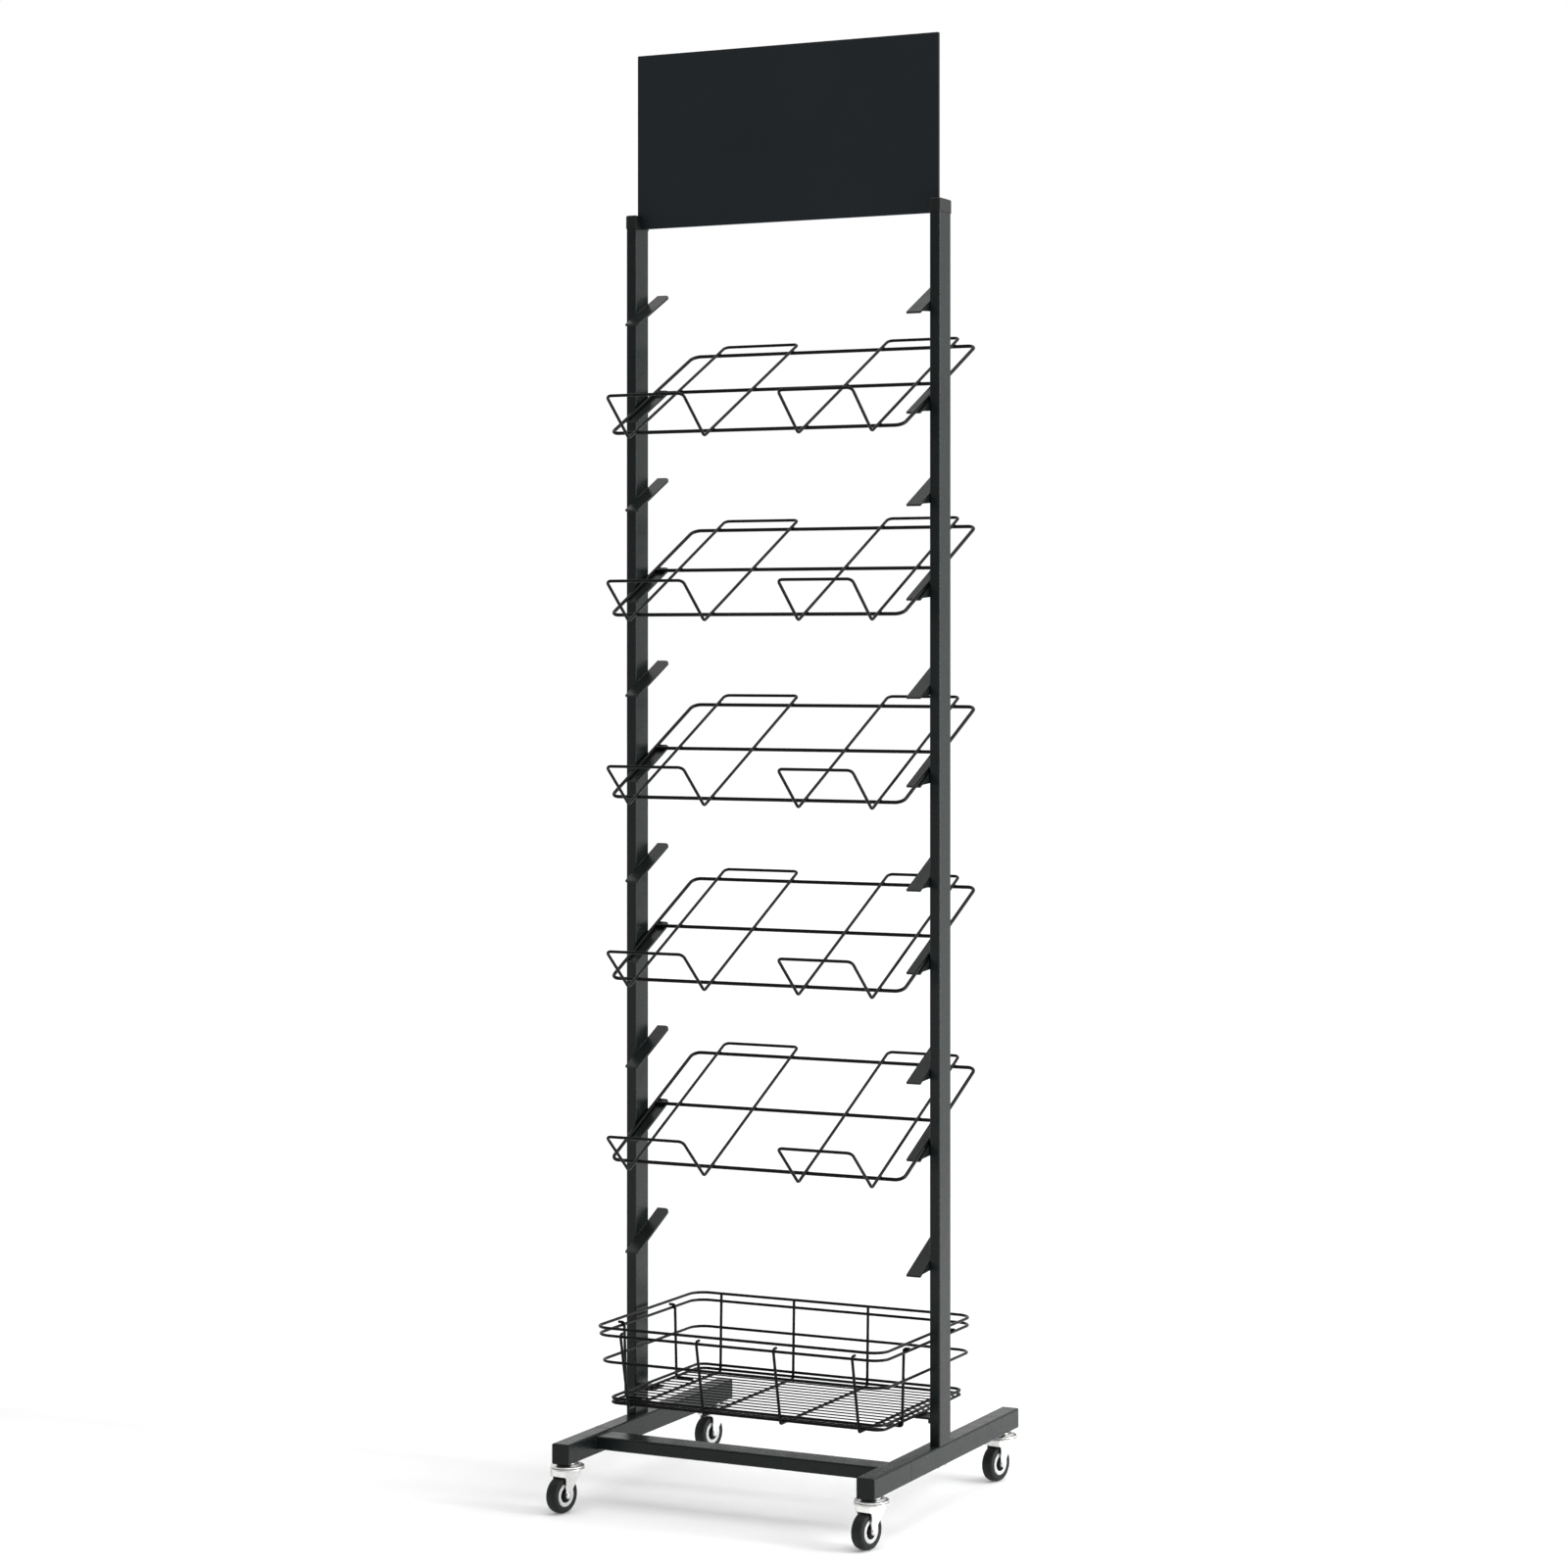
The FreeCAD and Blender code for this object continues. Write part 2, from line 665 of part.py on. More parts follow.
def pocket_shape(outer, inner):
    """One closed wire: rear loop, down the slope, vee bend, and up to the front lip."""
    lift = size("(rack_wire + pocket_wire) / " + COS)
    slope = size("rack_slope")
    rear_run = size("pocket_rear_run")
    vee_run = -size("pocket_vee_run")
    lip = (-size("pocket_lip_run"), size("pocket_lip_rise"))
    rear = (rear_run, slope * rear_run + lift)
    vee = (vee_run, slope * vee_run + lift)
    side = size(outer)
    middle = (side + size(inner)) / 2
    route = [Vector(middle, *rear), Vector(side, *rear), Vector(side, *vee),
             Vector(side, *lip), Vector(middle, *lip)]
    half = bent_wire(route, size("pocket_bend"), size("pocket_wire"))
    return half.fuse(half.mirror(Vector(middle, 0, 0), X_AXIS)).removeSplitter()


def racks():
    for step in range(int(size("rack_count"))):
        # Racks are numbered from the top one down.
        number = int(size("rack_count")) - step
        node(rack_frame("rack_loop_%d" % number, step), "rack_%d_frame" % number)
        for side in ("left", "right"):
            shape = pocket_shape(side + "_pocket_outer", side + "_pocket_inner")
            pocket = shaped("rack_%d_%s" % (number, side), shape)
            place(pocket, "0", "post_plane + rack_front", "rack_first + %d * rack_pitch" % step)
            node(pocket, "rack_%d_%s_pocket" % (number, side))


# ---------------------------------------------------------------- basket

def basket_lean(side):
    """How far the basket's wall leans out on one side, per unit of height.

    At the sides and back the uprights cross from inside the rims to outside the tray.
    """
    spread = {
        "side": "rim_half_width - tray_half_width - 4 * basket_wire",
        "front": "tray_front - rim_front",
        "back": "rim_back - tray_back - 4 * basket_wire",
    }[side]
    return "((%s) / (rim_height - tray_height))" % spread


def basket_ring(name, half_width, front, back, corner, height):
    ring = wire_ring(name, "2 * (%s)" % half_width, "(%s) - (%s)" % (back, front), corner,
                     "basket_wire")
    return place(ring, "0", "post_plane + ((%s) + (%s)) / 2" % (back, front), height)


def basket_rims():
    """Three loops round the basket's wall, drawn in a little where the wall leans."""
    rims = []
    for name, drop in (("rim_loop", "0"), ("second_loop", "second_rim_drop"),
                       ("middle_loop", "middle_rim_drop")):
        rims.append(basket_ring(
            name,
            "rim_half_width - %s * %s" % (drop, basket_lean("side")),
            "rim_front + %s * %s" % (drop, basket_lean("front")),
            "rim_back - %s * %s" % (drop, basket_lean("back")),
            "rim_corner",
            "rim_height - " + drop))
    node(group("rim_set", rims), "basket_rims")


def basket_uprights():
    """Wires hooked over the second rim that run down the front, under the tray and up the
    back, and short hooked ones at the sides."""
    wire, hook = size("basket_wire"), size("hook_reach")
    bend = 2 * wire
    top, low = size("rim_height"), size("tray_height")
    hook_top = top - size("second_rim_drop") + bend
    along_wall = (top - hook_top) / (top - low)
    front_low, back_low = size("tray_front") - bend, size("tray_back") + bend
    front_top = size("rim_front") - bend
    front_hook = front_top + (front_low - front_top) * along_wall
    back_top = size("rim_back") - bend
    side_top, side_low = size("rim_half_width") - bend, size("tray_half_width") + bend
    side_hook = side_top + (side_low - side_top) * along_wall
    wires = []
    for x in (-size("upright_outer"), -size("upright_inner"),
              size("upright_inner"), size("upright_outer")):
        route = [Vector(x, front_hook + hook, hook_top), Vector(x, front_hook, hook_top),
                 Vector(x, front_low, low), Vector(x, back_low, low), Vector(x, back_top, top)]
        wires.append(bent_wire(route, bend, wire))
    for hand in (-1, 1):
        for y in (-size("side_upright"), size("side_upright")):
            route = [Vector(hand * (side_hook + hook), y, hook_top),
                     Vector(hand * side_hook, y, hook_top), Vector(hand * side_low, y, low),
                     Vector(hand * (side_low - size("side_foot")), y, low)]
            wires.append(bent_wire(route, bend, wire))
    uprights = shaped("upright_set", Part.makeCompound(wires))
    place(uprights, "0", "post_plane")
    node(uprights, "basket_uprights")


def basket_floor():
    """Two loops one above the other, and thin wires across the tray between them."""
    lower = "tray_height + 2 * basket_wire"
    loops = [
        basket_ring(name, "tray_half_width", "tray_front", "tray_back", "tray_corner", height)
        for name, height in (("tray_lower_loop", lower), ("tray_upper_loop", lower + " + tray_ring_gap"))
    ]
    node(group("tray_loops", loops), "basket_floor_frame")
    count = int(size("floor_wire_count"))
    wires = []
    for step in range(1, count + 1):
        reach = "tray_front + (tray_back - tray_front) * %d / %d" % (step, count + 1)
        wires.append(rod("floor_wire_%d" % step, "floor_wire", "2 * (tray_half_width - basket_wire)",
                         ALONG_X, "basket_wire - tray_half_width", "post_plane + " + reach,
                         "tray_height + basket_wire + floor_wire"))
    node(group("floor_wire_set", wires), "basket_floor_wires")


# ---------------------------------------------------------------- casters

def caster_stem(name):
    """The fixed half: stem, upper race and the king pin that the fork turns on."""
    race_low = "crown_height + crown_thick + swivel_gap"
    race_high = race_low + " + race_lip"
    pin_low = "crown_height - swivel_gap"
    stem_top = "rail_under + stem_length"
    tip = "stem_radius / 4"
    return turned(name, [
        ("0", pin_low + " - king_head_thick"),
        ("king_head", pin_low + " - king_head_thick"),
        ("king_head", pin_low),
        ("king_pin", pin_low),
        ("king_pin", race_low),
        ("race_radius", race_low),
        ("race_radius", race_high),
        ("washer_radius", race_high + " + race_dome"),
        ("washer_radius", "rail_under"),
        ("stem_radius", "rail_under"),
        ("stem_radius", stem_top + " - " + tip),
        ("stem_radius - " + tip, stem_top),
        ("0", stem_top),
    ])


def caster_fork(name):
    """A crown disc with two tapered legs, and a hole through the legs for the axle."""
    fork = new_body(name)
    legs = new_sketch(fork, name + "_legs", "YZ_Plane")
    crown_mid = "crown_height + crown_thick / 2"
    polygon(legs, [("leg_top_front", crown_mid), ("-trail - leg_end", "wheel_radius"),
                   ("-trail + leg_end", "wheel_radius"), ("leg_top_back", crown_mid)])
    pad(fork, legs, "2 * (leg_gap + leg_thick)", Midplane=True)
    ends = new_sketch(fork, name + "_ends", "YZ_Plane")
    circle(ends, "-trail", "wheel_radius", "leg_end")
    pad(fork, ends, "2 * (leg_gap + leg_thick)", Midplane=True)
    space = new_sketch(fork, name + "_space", "XZ_Plane")
    framed(space, "-leg_gap", "leg_gap", "0", "crown_height")
    cut(fork, space, Midplane=True)
    crown = new_sketch(fork, name + "_crown")
    crown.setExpression(".AttachmentOffset.Base.z", formula("crown_height"))
    circle(crown, "0", "0", "crown_radius")
    pad(fork, crown, "crown_thick")
    pin = new_sketch(fork, name + "_pin_hole")
    circle(pin, "0", "0", "king_pin + running_play")
    cut(fork, pin, Reversed=True)
    axle = new_sketch(fork, name + "_axle_hole", "YZ_Plane")
    circle(axle, "-trail", "wheel_radius", "axle_radius")
    cut(fork, axle, Midplane=True)
    return fork


def caster_axle(name):
    """A rivet through both legs, headed at each end."""
    face = "(leg_gap + leg_thick)"
    end = "(leg_gap + leg_thick + axle_head_thick)"
    bevel = "axle_head_round"
    half = [("axle_head - " + bevel, end), ("axle_head", end + " - " + bevel),
            ("axle_head", face), ("axle_radius", face)]
    low = [(radius, "-(%s)" % height) for radius, height in half]
    return turned(name, [("0", "-" + end)] + low + half[::-1] + [("0", end)])


def caster_hub(name):
    """A plastic wheel centre with a recess on each side between rim and boss."""
    rim_face = "(wheel_width / 2 - hub_inset)"
    web_face = "(wheel_width / 2 - hub_inset - hub_recess)"
    boss_face = "(leg_gap - boss_play)"
    half = [("axle_radius + running_play", boss_face), ("boss_radius", boss_face),
            ("boss_radius", web_face), ("rim_inner", web_face),
            ("rim_inner", rim_face), ("hub_radius", rim_face)]
    low = [(radius, "-" + height) for radius, height in half]
    return turned(name, low + half[::-1])


def caster_tyre(name):
    """A solid rubber ring with well rounded shoulders."""
    side = "wheel_width / 2"
    tyre = turned(name, [("hub_radius", "-" + side), ("wheel_radius", "-" + side),
                         ("wheel_radius", side), ("hub_radius", side)])
    shoulder = size("wheel_radius") - 0.01
    round_edges(tyre, "tyre_round",
                lambda edge: len(edge.Vertexes) == 1 and edge.Curve.Radius > shoulder)
    return tyre


def casters():
    """Four casters, all turned a little the same way, as a rolled stand leaves them."""
    parked = Rotation(Z_AXIS, size("parked_turn"))
    places = {
        "front_left": ("-" + RAIL_X, "front_caster"),
        "front_right": (RAIL_X, "front_caster"),
        "rear_left": ("-" + RAIL_X, "rear_caster"),
        "rear_right": (RAIL_X, "rear_caster"),
    }
    for corner, (x, y) in places.items():
        upright_parts = {"stem": caster_stem, "fork": caster_fork}
        wheel_parts = {"axle": caster_axle, "hub": caster_hub, "tyre": caster_tyre}
        for kind, maker in upright_parts.items():
            piece = place(maker("%s_%s_body" % (corner, kind)), x, y, "0", parked)
            node(piece, "%s_caster_%s" % (corner, kind))
        for kind, maker in wheel_parts.items():
            piece = place(maker("%s_%s_body" % (corner, kind)),
                          x + " + trail * sin(parked_turn)", y + " - trail * cos(parked_turn)",
                          "wheel_radius", parked.multiply(ALONG_X))
            node(piece, "%s_caster_%s" % (corner, kind))


# ---------------------------------------------------------------- the whole stand

foot_rails()
spigots()
cross_rail()
end_caps()
base_screws()
posts()
post_caps()
sign_panel()
ledges()
basket_rests()
racks()
basket_rims()
basket_uprights()
basket_floor()
casters()
doc.recompute()

for thing in doc.Objects:
    failed = {"Invalid", "Error"}.intersection(thing.State)
    assert not failed, "%s did not compute" % thing.Name
for thing in nodes:
    shape = thing.Shape
    assert not shape.isNull() and shape.isValid(), thing.Label + " has no sound shape"

os.makedirs("parts", exist_ok=True)
for thing in nodes:
    thing.Shape.exportStep("parts/%s.step" % thing.Label)
    print("%-28s %2d solids %12.1f mm3" % (thing.Label, len(thing.Shape.Solids), thing.Shape.Volume))
print(len(nodes), "sub-parts")
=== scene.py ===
import json
import math

import bmesh
import bpy
from mathutils import Matrix, Vector, noise


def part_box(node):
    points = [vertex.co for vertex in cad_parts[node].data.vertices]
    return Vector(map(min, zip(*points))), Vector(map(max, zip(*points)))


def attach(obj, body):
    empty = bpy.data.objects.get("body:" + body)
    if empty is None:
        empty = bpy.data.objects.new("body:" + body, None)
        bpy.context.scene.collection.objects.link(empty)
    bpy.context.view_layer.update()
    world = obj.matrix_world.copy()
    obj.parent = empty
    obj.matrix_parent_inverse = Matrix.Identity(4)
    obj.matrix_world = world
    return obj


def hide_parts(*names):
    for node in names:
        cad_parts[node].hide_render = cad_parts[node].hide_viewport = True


# Looks for the wheeled magazine stand. Everything is in metres, in the frame of the CAD
# model: the origin is on the floor under the stand's middle, +X is its right, +Y its back.

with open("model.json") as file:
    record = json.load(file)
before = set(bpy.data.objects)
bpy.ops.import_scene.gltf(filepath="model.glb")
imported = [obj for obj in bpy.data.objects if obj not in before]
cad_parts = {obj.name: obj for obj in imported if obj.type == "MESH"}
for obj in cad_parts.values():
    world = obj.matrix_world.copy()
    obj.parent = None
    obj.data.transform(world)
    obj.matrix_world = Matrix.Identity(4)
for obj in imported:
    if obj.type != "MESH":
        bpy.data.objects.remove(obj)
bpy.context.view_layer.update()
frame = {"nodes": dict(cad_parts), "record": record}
nodes = frame["nodes"]
record = frame["record"]
joints = {joint["name"]: joint for joint in record["behaviour"]["joints"]}
scene = bpy.context.scene
scene.view_settings.view_transform = "Standard"

MM = 0.001
CORNERS = ("front_left", "front_right", "rear_left", "rear_right")
SIDES = ("left", "right")
RACKS = range(1, 6)
SLOPE = 0.5                                    # rise over run of racks and ledges
SLOPE_ANGLE = math.atan(SLOPE)
LEDGE_LENGTH = 107.0 * MM                      # along the slope
LEDGE_THICK = 3.0 * MM
RACK_MIDDLE = 142.4 * MM                       # from the front wire up the slope to the next
RACK_WIRE_R = 2.5 * MM
POCKET_WIRE_R = 2.1 * MM
BASKET_WIRE_R = 2.0 * MM
WHEEL_R = 25.0 * MM
SAME_PLACE = 1e-6                              # nearer than this is the same place


def parked_turn(corner="front_left"):
    """How far a caster is turned about its swivel axis as the stand is parked."""
    spin = joints[corner + "_wheel_spin"]["axis"]
    return math.atan2(spin[1], spin[0])


# ---------------------------------------------------------------- camera, light and floor

def add_camera():
    """The photograph's view: level, from 26 degrees to the right of the front."""
    data = bpy.data.cameras.new("camera")
    data.lens = 82.9
    data.sensor_width = 36.0
    data.shift_y = -0.0877
    camera = bpy.data.objects.new("camera", data)
    camera.location = (2.1936, -4.4778, 1.1717)
    level, azimuth = math.radians(90.0), math.radians(26.16)
    camera.rotation_euler = (level, 0.0, azimuth)
    scene.collection.objects.link(camera)
    scene.camera = camera


def area_light(name, place, target, width, height, power):
    """A rectangular light that the camera doesn't see."""
    data = bpy.data.lights.new(name, "AREA")
    data.shape = "RECTANGLE"
    data.size = width
    data.size_y = height
    data.energy = power
    light = bpy.data.objects.new(name, data)
    light.location = place
    light.rotation_euler = (Vector(target) - Vector(place)).to_track_quat("-Z", "Y").to_euler()
    scene.collection.objects.link(light)
    light.visible_camera = False


def set_range(ramp, start, end, low, high):
    """Makes a Map Range node turn start to end into low to high, and returns its result."""
    for name, value in (("From Min", start), ("From Max", end),
                        ("To Min", low), ("To Max", high)):
        ramp.inputs[name].default_value = value
    return ramp.outputs["Result"]


def add_world():
    """A pale studio, white to look at; its light is dimmer in front of the stand."""
    world = bpy.data.worlds.new("studio")
    world.use_nodes = True
    tree = world.node_tree
    background = tree.nodes["Background"]
    background.inputs["Strength"].default_value = 1.0
    where = tree.nodes.new("ShaderNodeTexCoord")
    split = tree.nodes.new("ShaderNodeSeparateXYZ")
    ramp = tree.nodes.new("ShaderNodeMapRange")
    light = set_range(ramp, start=-0.9, end=0.3, low=0.36, high=0.88)
    tree.links.new(where.outputs["Generated"], split.inputs[0])
    tree.links.new(split.outputs["Y"], ramp.inputs["Value"])
    seen = tree.nodes.new("ShaderNodeLightPath").outputs["Is Camera Ray"]
    tone = tree.nodes.new("ShaderNodeMath")
    tone.operation = "MAXIMUM"
    tree.links.new(light, tone.inputs[0])
    tree.links.new(seen, tone.inputs[1])
    tree.links.new(tone.outputs[0], background.inputs["Color"])
    scene.world = world


def glow(material, near, far, least, most):
    """Lets a floor brighten with the distance from the stand, so that it meets the pale wall."""
    tree = material.node_tree
    place = tree.nodes.new("ShaderNodeTexCoord").outputs["Object"]
    distance = tree.nodes.new("ShaderNodeVectorMath")
    distance.operation = "LENGTH"
    ramp = tree.nodes.new("ShaderNodeMapRange")
    ramp.interpolation_type = "SMOOTHSTEP"
    strength = set_range(ramp, near, far, least, most)
    shader = tree.nodes["Principled BSDF"]
    shader.inputs["Emission Color"].default_value = (1.0, 1.0, 1.0, 1.0)
    tree.links.new(place, distance.inputs[0])
    tree.links.new(distance.outputs["Value"], ramp.inputs["Value"])
    tree.links.new(strength, shader.inputs["Emission Strength"])


def add_floor():
    """A pale studio floor, just below the tyres and large enough to fill every view."""
    shape = bmesh.new()
    bmesh.ops.create_circle(shape, cap_ends=True, segments=128, radius=40.0)
    floor = mesh_piece("floor", shape)
    floor.location.z = -0.2 * MM
    paper = paint("floor_paper", (0.84, 0.84, 0.84), rough=0.9, specular=0.1,
                  mottle=(3.0, 0.02), bump=(600.0, 0.05, 0.0001))
    floor.data.materials.append(paper)
    glow(paper, near=1.2, far=4.5, least=0.12, most=0.48)


# ---------------------------------------------------------------- materials

class Nodes:
    """Short ways to add shader nodes to one material."""

    def __init__(self, name):
        self.material = bpy.data.materials.new(name)
        self.material.use_nodes = True
        self.tree = self.material.node_tree
        self.shader = self.tree.nodes["Principled BSDF"]
        self.place = self.tree.nodes.new("ShaderNodeTexCoord").outputs["Object"]

    def feed(self, socket, value):
        """Links another node's output to a socket, or sets the socket's own value."""
        if isinstance(value, bpy.types.NodeSocket):
            self.tree.links.new(value, socket)
        else:
            socket.default_value = value

    def add(self, kind, **inputs):
        """A new node, with its inputs fed by name."""
        made = self.tree.nodes.new(kind)
        for name, value in inputs.items():
            self.feed(made.inputs[name], value)
        return made

    def noise(self, scale, detail=2.0, roughness=0.5, stretch=None):
        """Cloudy values round 0.5, in smaller clouds for a larger scale."""
        place = self.place
        if stretch:
            place = self.add("ShaderNodeMapping", Vector=place, Scale=stretch).outputs[0]
        made = self.add("ShaderNodeTexNoise", Vector=place, Scale=scale, Detail=detail,
                        Roughness=roughness)
        return made.outputs["Fac"]

    def spread(self, value, low, high, start=0.3, end=0.7):
        """Takes the values from start to end, where most of a noise lies, to low to high."""
        return set_range(self.add("ShaderNodeMapRange", Value=value), start, end, low, high)

    def mix(self, factor, first, second):
        """Two colours, or a colour's socket and a colour, mixed by a socket."""
        made = self.tree.nodes.new("ShaderNodeMix")
        made.data_type = "RGBA"
        for socket, value in zip((made.inputs[0], made.inputs[6], made.inputs[7]),
                                 (factor, first, second)):
            if not isinstance(value, bpy.types.NodeSocket):
                value = (*value, 1.0)
            self.feed(socket, value)
        return made.outputs[2]

    def bump(self, height, strength, distance, below=None):
        """A skin of small bumps, which may lie over another one."""
        made = self.add("ShaderNodeBump", Height=height, Strength=strength, Distance=distance)
        if below is not None:
            self.tree.links.new(below, made.inputs["Normal"])
        return made.outputs["Normal"]

    def finish(self, **sockets):
        """Feeds the shader's sockets, and returns the material."""
        for name, value in sockets.items():
            self.feed(self.shader.inputs[name.replace("_", " ")], value)
        return self.material


def shade(colour, factor):
    """The colour, lighter or darker."""
    return tuple(channel * factor for channel in colour)


def paint(name, colour, rough, specular, mottle, bump, dust_and_top_light=None):
    """A coated or moulded surface: mottled colour, uneven gloss and a fine skin.

    mottle is (scale, depth), bump is (scale, strength, distance), and the last argument is the
    lighter colour painted on the faces that look up: painted top light, in dusty patches.
    """
    made = Nodes(name)
    mottle_scale, depth = mottle
    bump_scale, strength, distance = bump
    rough_spread = 0.05
    broad = made.noise(mottle_scale, 4.0, 0.6)
    colour_out = made.mix(made.spread(broad, 0.0, 1.0), shade(colour, 1 - depth),
                          shade(colour, 1 + depth))
    # painted top light: faces that look up are lightened towards the given colour, in dusty
    # patches
    if dust_and_top_light:
        up = made.tree.nodes.new("ShaderNodeNewGeometry").outputs["Normal"]
        lift = made.add("ShaderNodeSeparateXYZ", Vector=up).outputs["Z"]
        facing = made.spread(lift, 0.0, 1.0, 0.6, 1.0)
        cloud = made.spread(made.noise(60.0, 5.0, 0.7), 0.35, 1.0)
        top_light_amount = made.tree.nodes.new("ShaderNodeMath")
        top_light_amount.operation = "MULTIPLY"
        made.tree.links.new(facing, top_light_amount.inputs[0])
        made.tree.links.new(cloud, top_light_amount.inputs[1])
        colour_out = made.mix(top_light_amount.outputs[0], colour_out, dust_and_top_light)
    rough_out = made.spread(made.noise(mottle_scale * 6, 3.0), rough - rough_spread,
                            rough + rough_spread)
    skin = made.bump(made.noise(bump_scale, 2.0), strength, distance)
    return made.finish(Base_Color=colour_out, Roughness=rough_out, Normal=skin,
                       Specular_IOR_Level=specular)


def board(name, colour):
    """A smooth satin board: a faint rolled grain along its width, and light handling marks."""
    made = Nodes(name)
    grain = made.noise(220.0, 3.0, 0.6, stretch=(0.06, 1.0, 1.0))
    cloud = made.noise(5.0, 4.0, 0.6)
    colour_out = made.mix(made.spread(cloud, 0.0, 1.0), shade(colour, 0.94), shade(colour, 1.06))
    rough_out = made.spread(cloud, 0.46, 0.56)
    skin = made.bump(made.noise(1600.0, 2.0), 0.18, 0.00005, made.bump(grain, 0.1, 0.00008))
    return made.finish(Base_Color=colour_out, Roughness=rough_out, Normal=skin,
                       Specular_IOR_Level=0.16)


def plated(name, colour, rough, spangle):
    """Plated metal: small crystals of slightly different tone, and hazy patches.

    The larger the spangle's scale, the smaller are the crystals.
    """
    made = Nodes(name)
    crystals = made.add("ShaderNodeTexVoronoi", Vector=made.place, Scale=spangle)
    tone = made.tree.nodes.new("ShaderNodeRGBToBW")
    made.tree.links.new(crystals.outputs["Color"], tone.inputs[0])
    haze = made.noise(90.0, 4.0, 0.6)
    colour_out = made.mix(made.spread(tone.outputs[0], 0.0, 1.0, 0.1, 0.9),
                          shade(colour, 0.92), colour)
    colour_out = made.mix(made.spread(haze, 0.0, 0.35), colour_out, shade(colour, 0.8))
    skin = made.bump(made.noise(700.0, 2.0), 0.15, 0.00006)
    return made.finish(Base_Color=colour_out, Metallic=1.0, Normal=skin,
                       Roughness=made.spread(haze, rough - 0.06, rough + 0.1))


def rubber(name, colour):
    """Tyre rubber: fine turned rings round the axle, and dust in its pores."""
    made = Nodes(name)
    rings = made.tree.nodes.new("ShaderNodeTexWave")
    rings.wave_type = "RINGS"
    rings.rings_direction = "X"
    rings.inputs["Scale"].default_value = 420.0
    rings.inputs["Distortion"].default_value = 0.4
    straight = made.add("ShaderNodeMapping", Vector=made.place)
    straight.inputs["Rotation"].default_value = (0.0, 0.0, -parked_turn())
    made.tree.links.new(straight.outputs[0], rings.inputs["Vector"])
    pores = made.noise(1100.0, 3.0, 0.6)
    dust_and_top_light = made.spread(made.noise(140.0, 5.0, 0.7), 0.0, 0.5, 0.45, 0.75)
    colour_out = made.mix(dust_and_top_light, colour, shade(colour, 1.9))
    skin = made.bump(pores, 0.35, 0.00012, made.bump(rings.outputs["Fac"], 0.12, 0.0001))
    return made.finish(Base_Color=colour_out, Normal=skin, Specular_IOR_Level=0.22,
                       Roughness=made.spread(pores, 0.5, 0.68))


finishes = {
    # the lighter colour for upward faces is painted top light, in dusty patches
    "powder_coat": paint("powder_coat_black", (0.0062, 0.0092, 0.0090), rough=0.27, specular=0.2,
                         mottle=(9.0, 0.14), bump=(420.0, 0.02, 0.00004),
                         dust_and_top_light=(0.0125, 0.0150, 0.0142)),
    # the lighter colour for upward faces is painted top light, in dusty patches
    "cap_plastic": paint("cap_plastic_black", (0.0065, 0.0078, 0.0078), rough=0.42, specular=0.2,
                         mottle=(40.0, 0.1), bump=(2400.0, 0.4, 0.00006),
                         dust_and_top_light=(0.016, 0.018, 0.017)),
    "bare_steel": plated("bare_steel", (0.42, 0.41, 0.40), rough=0.4, spangle=600.0),
    "screw_steel": plated("screw_steel", (0.45, 0.45, 0.46), rough=0.32, spangle=500.0),
    "sign_black": board("sign_board", (0.0078, 0.0112, 0.0132)),
    "rack_wire": paint("rack_wire_black", (0.0028, 0.0033, 0.0033), rough=0.26, specular=0.12,
                       mottle=(50.0, 0.15), bump=(300.0, 0.08, 0.00005)),
    "basket_wire": paint("basket_wire_black", (0.0026, 0.0031, 0.0031), rough=0.24,
                         specular=0.12, mottle=(55.0, 0.15), bump=(320.0, 0.08, 0.00005)),
    "bright_zinc": plated("bright_zinc", (0.88, 0.88, 0.86), rough=0.30, spangle=260.0),
    "axle_steel": plated("axle_steel", (0.70, 0.70, 0.68), rough=0.26, spangle=700.0),
    "hub_plastic": paint("hub_plastic_grey", (0.50, 0.51, 0.51), rough=0.42, specular=0.4,
                         mottle=(70.0, 0.05), bump=(1800.0, 0.3, 0.00008)),
    "tyre_rubber": rubber("tyre_rubber_black", (0.0085, 0.0100, 0.0100)),
}
# the near-black of the hub's recess, ribs and boss is painted shade
hub_recess_painted_shade = paint("hub_recess_painted_shade_black", (0.010, 0.011, 0.011), rough=0.5, specular=0.25,
                 mottle=(70.0, 0.1), bump=(1800.0, 0.3, 0.00008))
seam_shadow = paint("seam_shadow", (0.0015, 0.0015, 0.0015), rough=0.8, specular=0.05,
                    mottle=(90.0, 0.2), bump=(1400.0, 0.4, 0.00006))


# ---------------------------------------------------------------- mesh helpers

def mesh_piece(name, shape, sharp=35.0):
    """Turns a bmesh into an object, shaded smooth but for edges sharper than so many degrees."""
    mesh = bpy.data.meshes.new(name)
    shape.to_mesh(mesh)
    shape.free()
    mesh.shade_smooth()
    mesh.set_sharp_from_angle(angle=math.radians(sharp))
    made = bpy.data.objects.new(name, mesh)
    scene.collection.objects.link(made)
    return made


def soften(made, width):
    """Rounds a piece's edges, as pressing and plating leave them."""
    bevel = made.modifiers.new("soft_edges", "BEVEL")
    bevel.width = width
    bevel.segments = 2
    bevel.limit_method = "ANGLE"
    bevel.angle_limit = math.radians(40.0)
    bevel.harden_normals = True


def dress(made, body, slot, *replaced):
    """Finishes a piece: its material, its body and the CAD nodes that it stands for."""
    made.data.materials.append(finishes[slot])
    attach(made, body)
    if replaced:
        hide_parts(*replaced)
    return made


